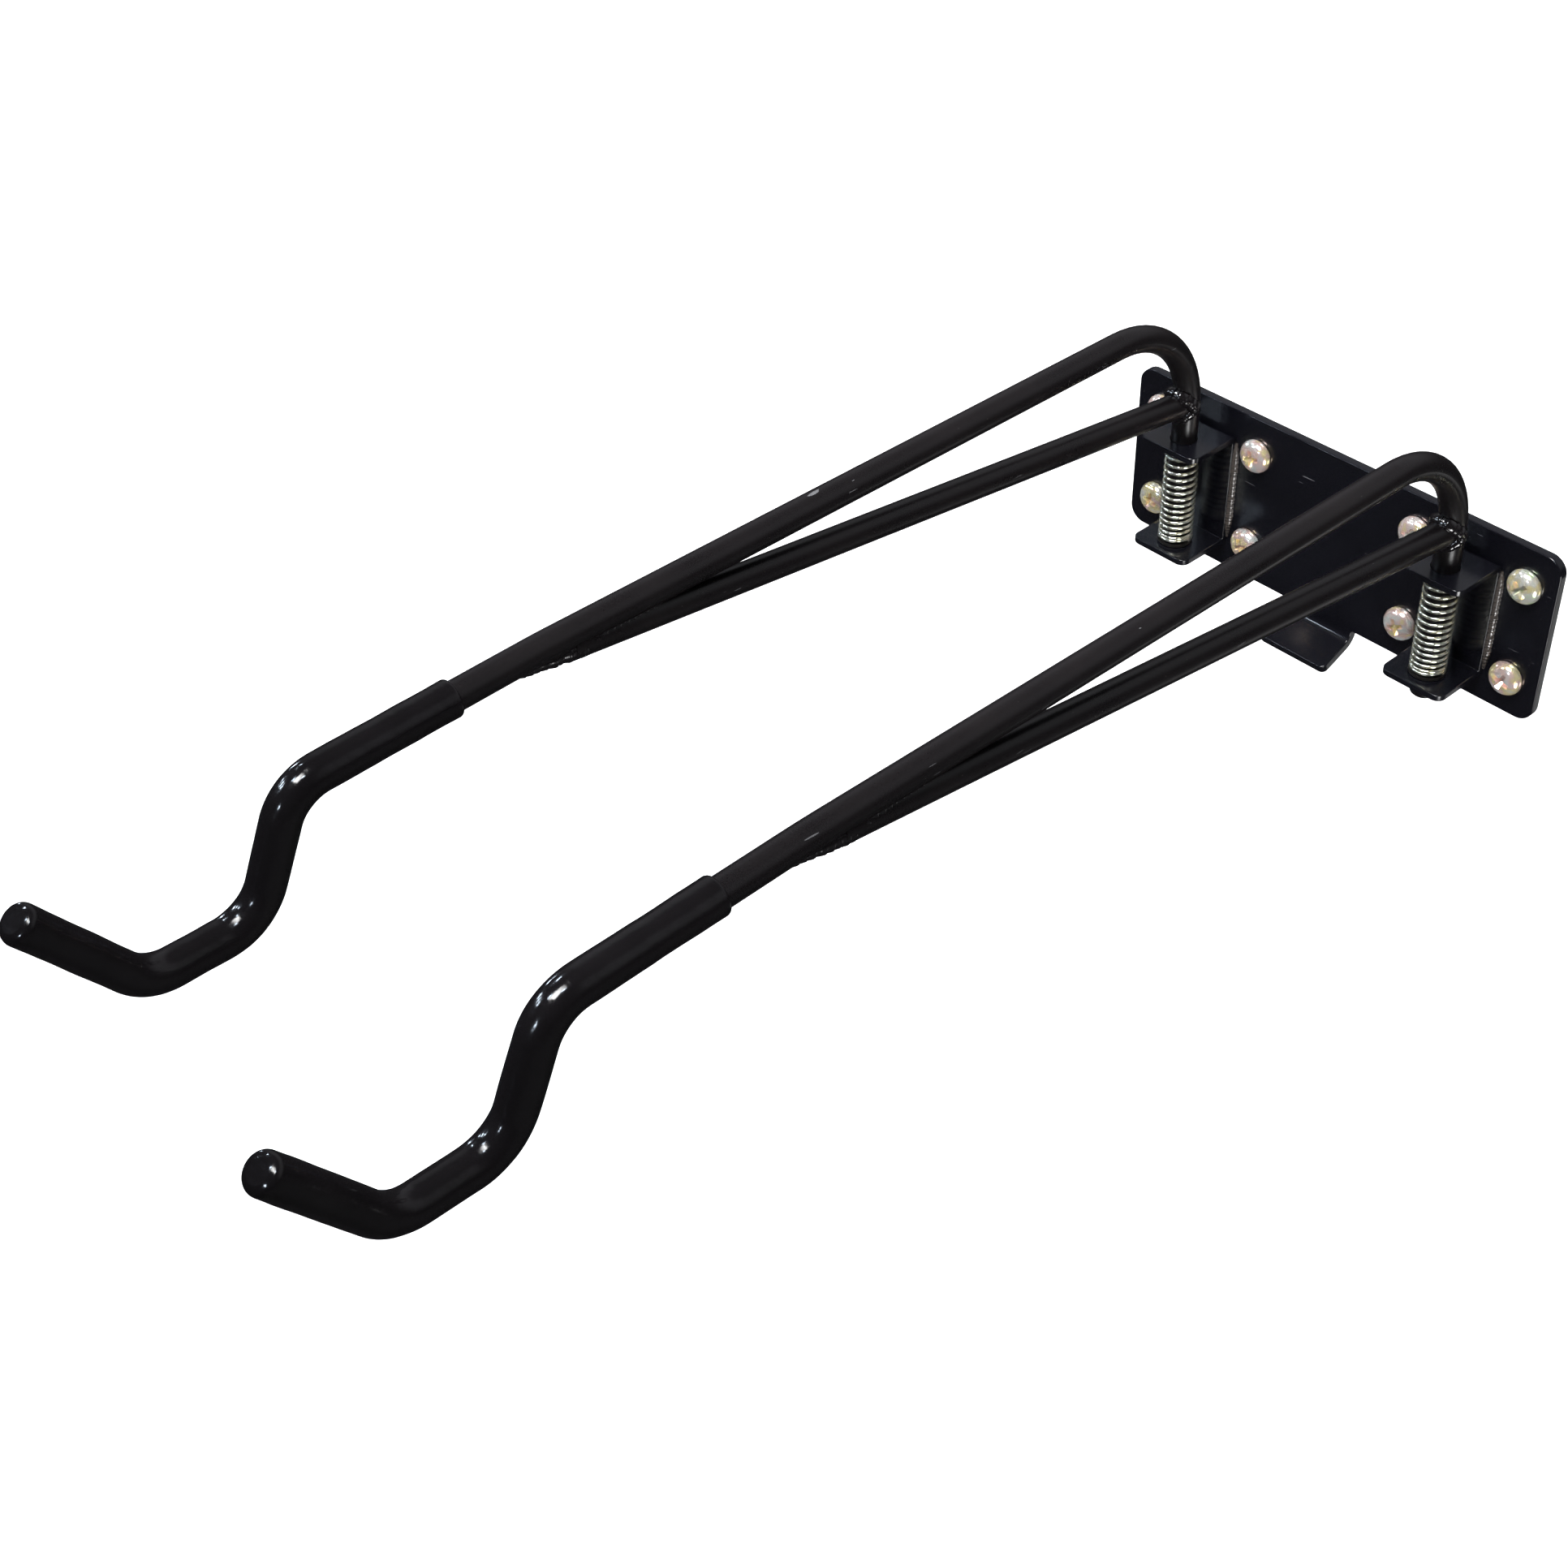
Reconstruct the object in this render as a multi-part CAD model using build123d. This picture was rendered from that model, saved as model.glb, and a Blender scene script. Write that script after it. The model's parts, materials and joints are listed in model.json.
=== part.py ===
"""Bicycle wall rack: a wall plate with two spring-loaded arms that fold flat to the wall.

Millimetres. The plate's back face is the plane Y = 0 and the wall lies behind it, at +Y.
+X is to the right as seen from the room, +Z is up, and the arms stick out along -Y.
The origin is the middle of the plate's back face.
"""
import os
from math import cos, radians, sin, tan

from build123d import *

# wall plate and its curled tab
PLATE_WIDTH = 230.0
PLATE_HEIGHT = 84.0
PLATE_THICK = 4.5
PLATE_CORNER = 8.0
TAB_WIDTH = 38.0
TAB_BEND_ANGLE = 68.0
TAB_BEND_RADIUS = 7.25
TAB_BEND_Z = -43.0
TAB_OVERLAP = 5.0
TAB_LENGTH = 21.3
TAB_CORNER = 3.0
TAB_ROOT_FILLET = 0.8

# pivot brackets
PIVOT_X = 72.0
PIVOT_OUT = 23.0
SHEET = 3.0
BRACKET_WIDTH = 32.0
BRACKET_DEPTH = 31.0
BRACKET_TOP = 29.0
BRACKET_BOTTOM = -29.0
BRACKET_BEND = 3.5
FLANGE_CORNER = 4.5
BRACKET_WELD = 3.0

# wall screws
SCREW_DX = 28.0
SCREW_DZ = 24.0
SCREW_HOLE_RADIUS = 4.5
HEAD_RADIUS = 8.0
HEAD_HEIGHT = 5.4
HEAD_DOME = 3.8
RECESS_LENGTH = 8.6
RECESS_WIDTH = 1.9
RECESS_DEPTH = 3.0
NECK_RADIUS = 3.7
SHANK_RADIUS = 4.0
SHANK_START = 0.4
SHANK_END = 14.7
TIP_END = 15.5
TIP_RADIUS = 3.3

# arms: "out" is the distance from the pivot axis towards the room
ROD_RADIUS = 6.0
BRACE_RADIUS = 5.9
FIT = 0.06
LEG_BELOW_BRACKET = {"left": 6.0, "right": 8.5}
LEG_CHAMFER = 1.0
ARM_HEIGHT = 96.0
ARM_KINK_OUT = 362.0
FRONT_SLOPE = 0.032
REAR_BEND = 51.0
KINK_BEND = 400.0
HOOK_OUT = 471.0
HOOK_ANGLE = 65.4
SEAT_Z = 45.5
SEAT_TIP_OUT = 537.0
TIP_ANGLE = 54.3
TIP_LENGTH = 61.0
HOOK_BENDS = (21.0, 23.0, 21.0)
BRACE_Z = 47.7
BRACE_SLOPE = 0.123
BRACE_OUT = 350.0

# weld metal between the brace, the leg and the arm rod
FRONT_WELD_START = 288.0
FRONT_WELD_END = 374.0
FRONT_WELD_HALF = 5.0
FRONT_WELD_DEPTH = 2.0
FRONT_WELD_TOE = 1.0
FRONT_WELD_RISE = 0.4
FRONT_WELD_BITE = 0.2
REAR_WELD_LENGTH = 11.0
REAR_WELD_ROOT = 0.1
REAR_WELD_RADIUS = 8.2
REAR_WELD_LIP = 0.15

# vinyl sleeve
SLEEVE_RADIUS = 7.5
SLEEVE_START = 401.5
SLEEVE_END_WALL = 2.5
SLEEVE_END_ROUND = 3.0
SLEEVE_REAR_ROUND = 0.6

# spring and the ring that it stands on
WIRE_RADIUS = 0.9
COIL_RADIUS = 7.4
COIL_PITCH = 3.4
SPRING_TOP_GAP = 0.1
RING_OUTER = 8.2
RING_SEAT = 5.75
RING_THICK = 1.0
RING_LIFT = 0.3
RING_MOUTH = 5.0
GROOVE_PLAY = 0.05

SIDES = {"left": -1, "right": 1}

flange_top_z = BRACKET_BOTTOM + SHEET
ring_z = flange_top_z + RING_LIFT


def wall_plate():
    """Flat plate and curled tab, one bent sheet with eight screw holes."""
    sheet = Pos(0, -PLATE_THICK / 2, 0) * Box(PLATE_WIDTH, PLATE_THICK, PLATE_HEIGHT)
    corners = sheet.edges().filter_by(Axis.Y)
    sheet = fillet(corners, PLATE_CORNER)
    tab = curled_tab()
    plate = sheet + tab
    root = [
        edge
        for edge in plate.edges().filter_by(Axis.Y)
        if abs(abs(edge.center().X) - TAB_WIDTH / 2) < 0.01
        and abs(edge.center().Z + PLATE_HEIGHT / 2) < 0.01
    ]
    plate = fillet(root, TAB_ROOT_FILLET)
    for side in SIDES.values():
        for x, z in screw_places(side):
            plate -= Pos(x, 0, z) * Rot(90, 0, 0) * Cylinder(SCREW_HOLE_RADIUS, 3 * PLATE_THICK)
    return plate


def curled_tab():
    """Tab in the middle of the lower edge: it bends forward and ends in rounded corners."""
    mid = -PLATE_THICK / 2
    corner_z = TAB_BEND_Z - TAB_BEND_RADIUS * tan(radians(TAB_BEND_ANGLE / 2))
    tip_y = mid - TAB_LENGTH * sin(radians(TAB_BEND_ANGLE))
    tip_z = corner_z - TAB_LENGTH * cos(radians(TAB_BEND_ANGLE))
    path = FilletPolyline(
        (0, mid, TAB_BEND_Z + TAB_OVERLAP), (0, mid, corner_z), (0, tip_y, tip_z), radius=TAB_BEND_RADIUS
    )
    section = Plane(origin=path @ 0, x_dir=(1, 0, 0), z_dir=path % 0)
    tab = sweep(section * Rectangle(TAB_WIDTH, PLATE_THICK), path=path)
    tip = tab.faces().sort_by(Axis.Y)[0]
    corners = [edge for edge in tip.edges() if abs((edge % 0.5).X) < 0.1]
    return fillet(corners, TAB_CORNER)


def screw_places(side):
    """The four screw axes round one bracket."""
    return [
        (side * PIVOT_X + dx, dz)
        for dx in (-SCREW_DX, SCREW_DX)
        for dz in (-SCREW_DZ, SCREW_DZ)
    ]


def bracket(side):
    """U-shaped pivot bracket: a web on the plate and two flanges with the leg's holes."""
    height = BRACKET_TOP - BRACKET_BOTTOM
    middle_z = (BRACKET_TOP + BRACKET_BOTTOM) / 2
    back_y = -PLATE_THICK
    block = Pos(0, back_y - BRACKET_DEPTH / 2, middle_z) * Box(BRACKET_WIDTH, BRACKET_DEPTH, height)
    block = fillet(block.edges().filter_by(Axis.X).sort_by(Axis.Y)[-2:], BRACKET_BEND)
    gap = Pos(0, back_y - SHEET - BRACKET_DEPTH / 2, middle_z) * Box(
        2 * BRACKET_WIDTH, BRACKET_DEPTH, height - 2 * SHEET
    )
    gap = fillet(gap.edges().filter_by(Axis.X).sort_by(Axis.Y)[-2:], BRACKET_BEND - SHEET)
    block -= gap
    block = fillet(block.edges().filter_by(Axis.Z).sort_by(Axis.Y)[:4], FLANGE_CORNER)
    block -= Pos(0, -PIVOT_OUT, middle_z) * Cylinder(ROD_RADIUS + FIT, 2 * height)
    return Pos(side * PIVOT_X, 0, 0) * block


def bracket_welds(side):
    """Fillet beads along both upright edges of the web."""
    length = BRACKET_TOP - BRACKET_BOTTOM - 2 * BRACKET_BEND
    middle_z = (BRACKET_TOP + BRACKET_BOTTOM) / 2
    beads = []
    for edge in (-1, 1):
        x = edge * BRACKET_WIDTH / 2
        outline = Polyline(
            (x, -PLATE_THICK),
            (x + edge * BRACKET_WELD, -PLATE_THICK),
            (x, -PLATE_THICK - BRACKET_WELD),
            close=True,
        )
        bead = extrude(make_face(outline), length / 2, both=True, dir=(0, 0, 1))
        beads.append(Pos(side * PIVOT_X, 0, middle_z) * bead)
    return Compound(beads)


def wall_screw(x, z):
    """Pan-head screw with a cross recess. Its shank goes on past the plate's back."""
    head = Cylinder(HEAD_RADIUS, HEAD_HEIGHT, align=(Align.CENTER, Align.CENTER, Align.MIN))
    head = fillet(head.edges().sort_by(Axis.Z)[-1], HEAD_DOME)
    for turn in (0, 90):
        slot = Box(RECESS_LENGTH, RECESS_WIDTH, 2 * RECESS_DEPTH)
        head -= Pos(0, 0, HEAD_HEIGHT) * Rot(0, 0, turn) * slot
    outline = Polyline(
        (0, 0),
        (NECK_RADIUS, 0),
        (NECK_RADIUS, -PLATE_THICK - SHANK_START),
        (SHANK_RADIUS, -PLATE_THICK - SHANK_START),
        (SHANK_RADIUS, -PLATE_THICK - SHANK_END),
        (TIP_RADIUS, -PLATE_THICK - TIP_END),
        (0, -PLATE_THICK - TIP_END),
        close=True,
    )
    shank = revolve(Plane.XZ * make_face(outline), Axis.Z)
    return Pos(x, -PLATE_THICK, z) * Rot(90, 0, 0) * (head + shank)


def rod(points, bends, radius):
    """Round rod along straight runs joined by arcs. A point is (out, z)."""
    path = FilletPolyline(*[(0, -out, z) for out, z in points], radius=bends)
    section = Plane(origin=path @ 0, z_dir=path % 0)
    return sweep(section * Circle(radius), path=path)


def straight_rod(start, end, radius):
    """Round rod between two (out, z) points."""
    line = Line((0, -start[0], start[1]), (0, -end[0], end[1]))
    section = Plane(origin=line @ 0, z_dir=line % 0)
    return sweep(section * Circle(radius), path=line)


def arm_z(out):
    """Height of the arm rod's axis between the rear bend and the hook."""
    return ARM_HEIGHT - FRONT_SLOPE * max(0, out - ARM_KINK_OUT)


def brace_z(out):
    """Height of the brace's axis."""
    return BRACE_Z + BRACE_SLOPE * out


def hook_points(tip_length):
    """Corners of the hook, from its top bend to the tip."""
    seat_rear = HOOK_OUT + (arm_z(HOOK_OUT) - SEAT_Z) / tan(radians(HOOK_ANGLE))
    tip_out = SEAT_TIP_OUT + tip_length * cos(radians(TIP_ANGLE))
    tip_z = SEAT_Z + tip_length * sin(radians(TIP_ANGLE))
    return [
        (HOOK_OUT, arm_z(HOOK_OUT)),
        (seat_rear, SEAT_Z),
        (SEAT_TIP_OUT, SEAT_Z),
        (tip_out, tip_z),
    ]


def arm_rod(leg_below):
    """Pivot leg, rear bend, long run and hook, with the ring's groove in the leg."""
    foot_z = BRACKET_BOTTOM - leg_below
    run = [(0, foot_z), (0, ARM_HEIGHT), (ARM_KINK_OUT, ARM_HEIGHT)]
    body = rod(run + hook_points(TIP_LENGTH), (REAR_BEND, KINK_BEND) + HOOK_BENDS, ROD_RADIUS)
    body = chamfer(body.faces().sort_by(Axis.Z)[0].edges(), LEG_CHAMFER)
    groove = Cylinder(2 * ROD_RADIUS, RING_THICK + 2 * GROOVE_PLAY) - Cylinder(RING_SEAT, 4 * RING_THICK)
    return body - Pos(0, 0, ring_z + RING_THICK / 2) * groove


def brace_rod(arm):
    """Straight brace from the leg to the underside of the arm rod, coped to both."""
    whole = straight_rod((0, brace_z(0)), (BRACE_OUT, brace_z(BRACE_OUT)), BRACE_RADIUS)
    return whole - arm


def front_weld(arm, brace):
    """Weld metal that fills the groove between arm rod and brace and runs out at its front."""
    brace_low = brace_z(BRACE_OUT) - BRACE_RADIUS
    arm_low = arm_z(FRONT_WELD_END) - ROD_RADIUS
    outline = Polyline(
        (FRONT_WELD_START, brace_z(FRONT_WELD_START)),
        (BRACE_OUT - FRONT_WELD_DEPTH, brace_z(BRACE_OUT) - FRONT_WELD_DEPTH),
        (BRACE_OUT + FRONT_WELD_TOE, brace_low + FRONT_WELD_RISE),
        (FRONT_WELD_END, arm_low + FRONT_WELD_BITE),
        (FRONT_WELD_END, arm_z(FRONT_WELD_END)),
        (FRONT_WELD_START, arm_z(FRONT_WELD_START)),
        close=True,
    )
    side_view = Plane(origin=(0, 0, 0), x_dir=(0, -1, 0), z_dir=(-1, 0, 0))
    fill = extrude(side_view * make_face(outline), FRONT_WELD_HALF, both=True)
    return fill - arm - brace


def rear_weld(arm, brace):
    """Tapered collar of weld metal round the brace where it meets the leg."""
    axis = Line((0, 0, brace_z(0)), (0, -REAR_WELD_LENGTH, brace_z(REAR_WELD_LENGTH)))
    collar = loft(
        [
            Plane(origin=axis @ REAR_WELD_ROOT, z_dir=axis % 0) * Circle(REAR_WELD_RADIUS),
            Plane(origin=axis @ 1, z_dir=axis % 0) * Circle(BRACE_RADIUS + REAR_WELD_LIP),
        ]
    )
    return collar - arm - brace


def sleeve(arm):
    """Vinyl sleeve over the hook, closed and rounded at the tip."""
    points = [(SLEEVE_START, arm_z(SLEEVE_START))] + hook_points(TIP_LENGTH + SLEEVE_END_WALL)
    skin = rod(points, HOOK_BENDS, SLEEVE_RADIUS)
    ends = skin.faces().filter_by(GeomType.PLANE).sort_by(Axis.Y)
    skin = fillet(ends[0].edges(), SLEEVE_END_ROUND)
    rear = skin.faces().filter_by(GeomType.PLANE).sort_by(Axis.Y)[-1]
    skin = fillet(rear.edges(), SLEEVE_REAR_ROUND)
    return skin - arm


def spring():
    """Compression spring between the ring and the upper flange."""
    bottom = ring_z + RING_THICK
    top = BRACKET_TOP - SHEET - SPRING_TOP_GAP
    height = top - bottom - 2 * WIRE_RADIUS
    path = Helix(COIL_PITCH, height, COIL_RADIUS)
    section = Plane(origin=path @ 0, z_dir=path % 0)
    return Pos(0, 0, bottom + WIRE_RADIUS) * sweep(section * Circle(WIRE_RADIUS), path=path, is_frenet=True)


def retaining_ring():
    """Open ring in the leg's groove, under the spring."""
    ring = Cylinder(RING_OUTER, RING_THICK) - Cylinder(RING_SEAT, 2 * RING_THICK)
    ring -= Pos(0, RING_OUTER, 0) * Box(RING_MOUTH, 2 * RING_OUTER, 2 * RING_THICK)
    return Pos(0, 0, ring_z + RING_THICK / 2) * ring


def screw_name(side, x, z):
    """Name of a wall screw from where it sits."""
    height = "upper" if z > 0 else "lower"
    reach = "outer" if abs(x) > PIVOT_X else "inner"
    return f"{side}_{height}_{reach}_screw"


def arm_pieces(leg_below):
    """Pieces of one arm, with its pivot axis on the Z axis."""
    arm = arm_rod(leg_below)
    brace = brace_rod(arm)
    return {
        "arm_rod": arm,
        "brace_rod": brace,
        "front_weld": front_weld(arm, brace),
        "rear_weld": rear_weld(arm, brace),
        "hook_sleeve": sleeve(arm),
        "spring": spring(),
        "retaining_ring": retaining_ring(),
    }


def build_nodes():
    """Every piece of the rack, by node name."""
    nodes = {"wall_plate": wall_plate()}
    for side, sign in SIDES.items():
        nodes[f"{side}_bracket"] = bracket(sign)
        nodes[f"{side}_bracket_welds"] = bracket_welds(sign)
        for x, z in screw_places(sign):
            nodes[screw_name(side, x, z)] = wall_screw(x, z)
        for name, piece in arm_pieces(LEG_BELOW_BRACKET[side]).items():
            nodes[f"{side}_{name}"] = Pos(sign * PIVOT_X, -PIVOT_OUT, 0) * piece
    return nodes


os.makedirs("parts", exist_ok=True)
for node, shape in build_nodes().items():
    export_step(shape, f"parts/{node}.step")
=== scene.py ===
# %% [markdown]
# # A bicycle wall rack
# A steel plate is screwed to the wall. Two arms of round bar hang in brackets on it and carry the
# bicycle by its top tube, which lies in the two sleeved hooks. Each arm turns about its upright leg,
# so the rack folds flat to the wall when it's empty, and a spring round the leg holds the arm down.
#
# The engineering model is loaded first, as a fixed frame. Its parts that already have the right
# shape stay and only get a finish. The others are made again here with the detail that a
# drawing leaves out: thread, cross recess, weld ripples, closed spring ends, soft sheet edges.

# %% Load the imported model
import json
from math import cos, pi, radians, sin, tan, tau

import bmesh
import bpy
from mathutils import Matrix, Vector


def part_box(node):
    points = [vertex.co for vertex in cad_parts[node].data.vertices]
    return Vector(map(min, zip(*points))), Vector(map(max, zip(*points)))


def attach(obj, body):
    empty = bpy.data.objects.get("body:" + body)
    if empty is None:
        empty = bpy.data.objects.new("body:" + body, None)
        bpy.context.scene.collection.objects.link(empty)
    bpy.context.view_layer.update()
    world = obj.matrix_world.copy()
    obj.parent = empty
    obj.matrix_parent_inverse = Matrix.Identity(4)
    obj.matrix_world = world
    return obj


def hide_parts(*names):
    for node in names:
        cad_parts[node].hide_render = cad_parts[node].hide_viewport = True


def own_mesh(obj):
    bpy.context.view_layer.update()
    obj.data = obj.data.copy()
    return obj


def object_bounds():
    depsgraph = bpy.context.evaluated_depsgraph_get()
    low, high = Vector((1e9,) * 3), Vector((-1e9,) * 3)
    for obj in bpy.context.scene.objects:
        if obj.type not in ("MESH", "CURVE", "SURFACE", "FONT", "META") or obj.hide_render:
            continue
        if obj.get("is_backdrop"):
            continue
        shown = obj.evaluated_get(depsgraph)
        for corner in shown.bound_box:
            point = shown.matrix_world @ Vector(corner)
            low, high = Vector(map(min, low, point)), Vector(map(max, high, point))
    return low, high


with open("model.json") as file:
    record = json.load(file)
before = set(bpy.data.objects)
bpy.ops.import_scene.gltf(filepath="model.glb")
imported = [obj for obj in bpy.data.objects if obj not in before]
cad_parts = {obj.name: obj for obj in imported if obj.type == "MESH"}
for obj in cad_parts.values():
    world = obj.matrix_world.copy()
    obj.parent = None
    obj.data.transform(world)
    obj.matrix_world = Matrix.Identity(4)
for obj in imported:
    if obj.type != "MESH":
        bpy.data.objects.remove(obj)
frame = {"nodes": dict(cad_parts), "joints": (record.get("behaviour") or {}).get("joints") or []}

nodes = frame["nodes"]
cad_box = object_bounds()
MM = 0.001
SIDES = ("left", "right")
print("the packed rack measures", [round(x / MM) for x in cad_box[1] - cad_box[0]], "mm")

# %% [markdown]
# ## The places that everything else is measured from
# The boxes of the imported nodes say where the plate's front is, where the two pivots stand and where
# each screw goes. Only the arm's own line isn't in a box, so its heights and bends are written down
# as numbers further on, beside the weld beads and sleeves that follow it.

# %% Measure the frame
plate_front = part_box("left_bracket")[1].y


def middle_of(node):
    """The middle of a node's box."""
    low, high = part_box(node)
    return (low + high) / 2


pivot = {side: middle_of(f"{side}_spring") for side in SIDES}
screws = [node for node in nodes if node.endswith("_screw")]
print("plate front at y =", round(plate_front / MM, 2), "mm")
print("pivots at x =", [round(p.x / MM, 2) for p in pivot.values()], "mm")
print(len(screws), "wall screws")

# %% [markdown]
# ## A small workbench for node trees
# Finishes and shapes are both made of nodes here. Writing each node by hand takes many lines, so
# a *bench* adds a node with its settings, its values and its links in one call, and a *wire* is
# one output of a node that can be used in sums. `1 - wire * 2` then adds the Math nodes by itself.

# %% The bench and its wires
class Wire:
    """One output of a node. Sums written with it become Math nodes."""

    def __init__(self, bench, socket):
        self.bench = bench
        self.socket = socket

    def other(self, output):
        """Another output of the same node."""
        return Wire(self.bench, find_socket(self.socket.node.outputs, output))

    def math(self, operation, *values):
        return self.bench.node("ShaderNodeMath", {"operation": operation}, dict(enumerate(values)))

    def __add__(self, value):
        return self.math("ADD", self, value)

    def __radd__(self, value):
        return self.math("ADD", value, self)

    def __sub__(self, value):
        return self.math("SUBTRACT", self, value)

    def __rsub__(self, value):
        return self.math("SUBTRACT", value, self)

    def __mul__(self, value):
        return self.math("MULTIPLY", self, value)

    def __truediv__(self, value):
        return self.math("DIVIDE", self, value)

    def __gt__(self, value):
        return self.math("GREATER_THAN", self, value)

    def __lt__(self, value):
        return self.math("LESS_THAN", self, value)

    def at_most(self, value):
        return self.math("MINIMUM", self, value)

    def at_least(self, value):
        return self.math("MAXIMUM", self, value)

    def root(self):
        return self.math("SQRT", self)

    def sine(self):
        return self.math("SINE", self)

    def cosine(self):
        return self.math("COSINE", self)


def find_socket(sockets, key):
    """A socket by its number, its identifier or its name."""
    if isinstance(key, int):
        return sockets[key]
    for socket in sockets:
        if socket.identifier == key:
            return socket
    return sockets[key]


class Bench:
    """A node tree to build in."""

    def __init__(self, tree):
        self.tree = tree

    def node(self, kind, settings=None, values=None, output=0):
        """Adds one node: settings first, then each socket's value or link."""
        made = self.tree.nodes.new(kind)
        for key, setting in (settings or {}).items():
            if key == "stops":
                ramp = made.color_ramp.elements
                while len(ramp) < len(setting):
                    ramp.new(1.0)
                for stop, (place, colour) in zip(ramp, setting):
                    stop.position = place
                    stop.color = (*colour, 1.0)
            else:
                setattr(made, key, setting)
        for key, value in (values or {}).items():
            socket = find_socket(made.inputs, key)
            if isinstance(value, Wire):
                self.tree.links.new(value.socket, socket)
            else:
                socket.default_value = value
        return Wire(self, find_socket(made.outputs, output))


# %% [markdown]
# ## Finishes
# Powder coat is paint that was blown on as dust and baked. It isn't flat: the melted dust leaves a
# fine skin like the peel of an orange, about a millimetre across, with softer waves under it, and
# handling leaves some patches duller than others. The black itself is very dark, so what the eye
# reads is the sheen. That is why most of the work goes into roughness and bump, and hardly any
# into colour. Only the beads beside the bracket webs are painted lighter: their grey-brown is a
# painted sheen that stands in for the light they mirror, not a colour of the coat or the metal.

# %% Helpers for a finish
def start_finish(name):
    """A new material with an empty tree, and the bench to build it on."""
    material = bpy.data.materials.new(name)
    material.use_nodes = True
    material.node_tree.nodes.clear()
    return material, Bench(material.node_tree)


def end_finish(bench, varying, fixed):
    """Joins the varying wires and the fixed values to one Principled shader."""
    shader = bench.node("ShaderNodeBsdfPrincipled", None, {**varying, **fixed})
    out = bench.tree.nodes.new("ShaderNodeOutputMaterial")
    bench.tree.links.new(shader.socket, out.inputs["Surface"])


def clouds(bench, place, size, detail=2.0):
    """Soft noise from 0 to 1 whose features are about size metres across."""
    values = {"Vector": place, "Scale": 1.0 / size, "Detail": detail}
    return bench.node("ShaderNodeTexNoise", None, values)


def object_place(bench):
    """Where a point is on the rack, in metres."""
    return bench.node("ShaderNodeTexCoord", None, None, "Object")


def mixed(bench, share, first, second):
    """A colour between two others."""
    values = {"Factor_Float": share, "A_Color": first, "B_Color": second}
    return bench.node("ShaderNodeMix", {"data_type": "RGBA"}, values, "Result_Color")


def bumps(bench, height, distance, strength):
    """The normal of a skin whose height goes from 0 to 1 over a distance in metres."""
    values = {"Strength": strength, "Distance": distance, "Height": height}
    return bench.node("ShaderNodeBump", None, values)


def scratches(bench, place):
    """A few short fine lines: the peaks of a stretched noise, kept only inside rare patches."""
    stretch = {"Vector": place, "Rotation": (0.6, 0.5, 0.9), "Scale": (60, 60, 1400)}
    slanted = bench.node("ShaderNodeMapping", None, stretch)
    streak = clouds(bench, slanted, 1.0, 1.0)
    rare = clouds(bench, place, 17 * MM, 1.0)
    return (streak > 0.70) * (rare > 0.66)


# %% Black powder coat
COAT_IOR = 1.5
DUST = (0.09, 0.085, 0.08, 1)
RUBBED = (0.10, 0.10, 0.105, 1)


def powder_coat(name, roughness, peel_depth, shine, fresh, worn):
    """Black baked coating. peel_depth is how high its skin stands, in metres."""
    material, bench = start_finish(name)
    place = object_place(bench)
    peel = clouds(bench, place, 1.1 * MM, 3.0)
    waves = clouds(bench, place, 7 * MM, 2.0)
    handling = clouds(bench, place, 38 * MM, 4.0)
    dust = bench.node("ShaderNodeTexVoronoi", None, {"Vector": place, "Scale": 1 / (5 * MM)})
    fleck = (dust < 0.035) * (handling > 0.5)
    rub = scratches(bench, place)
    black = mixed(bench, handling, fresh, worn)
    dusty = mixed(bench, fleck * 0.5, black, DUST)
    colour = mixed(bench, rub * 0.8, dusty, RUBBED)
    dullness = (handling - 0.5) * 0.16 + (peel - 0.5) * 0.10 + roughness
    skin = bumps(bench, peel + waves * 1.6 + fleck * 0.6, peel_depth, 0.6)
    varying = {"Base Color": colour, "Roughness": dullness, "Normal": skin}
    end_finish(bench, varying, {"Specular IOR Level": shine, "IOR": COAT_IOR})
    return material


BLUE_BLACK, BLUE_WORN = (0.0018, 0.0018, 0.0028, 1), (0.0040, 0.0040, 0.0060, 1)
BROWN_BLACK, BROWN_WORN = (0.0024, 0.0020, 0.0024, 1), (0.0060, 0.0046, 0.0050, 1)
# The third pair is painted sheen: a light grey-brown that stands in for light mirrored by the web
# beads.
PAINTED_SHEEN, PAINTED_SHEEN_WORN = (0.020, 0.017, 0.015, 1), (0.060, 0.050, 0.044, 1)
# Each coat: name, roughness, peel depth, shine, fresh colour, worn colour.
plate_coat = powder_coat("plate_powder_coat", 0.19, 0.022 * MM, 0.5, BLUE_BLACK, BLUE_WORN)
bar_coat = powder_coat("bar_powder_coat", 0.30, 0.045 * MM, 0.42, BROWN_BLACK, BROWN_WORN)
bracket_coat = powder_coat("bracket_gloss_coat", 0.19, 0.02 * MM, 0.6, BLUE_BLACK, BLUE_WORN)
weld_coat = powder_coat("weld_gloss_coat", 0.13, 0.04 * MM, 0.9, BROWN_BLACK, BROWN_WORN)
painted_sheen_weld_coat = powder_coat("painted_sheen_weld_coat", 0.18, 0.04 * MM, 0.9, PAINTED_SHEEN, PAINTED_SHEEN_WORN)
coats = (plate_coat, bar_coat, bracket_coat, weld_coat, painted_sheen_weld_coat)
print("coats:", ", ".join(coat.name for coat in coats))

# %% [markdown]
# Zinc plating goes on the screws and springs. Its yellow passivation is a film so thin that it
# splits light like oil on water, so the same screw looks silver, straw, pink and green in
# different spots. Noise picks a colour from a ramp of those tints, and every screw gets its own
# shift along that ramp from an attribute that the screw tree writes.

# %% Zinc finishes
STAIN = (0.30, 0.27, 0.22, 1)


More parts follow.
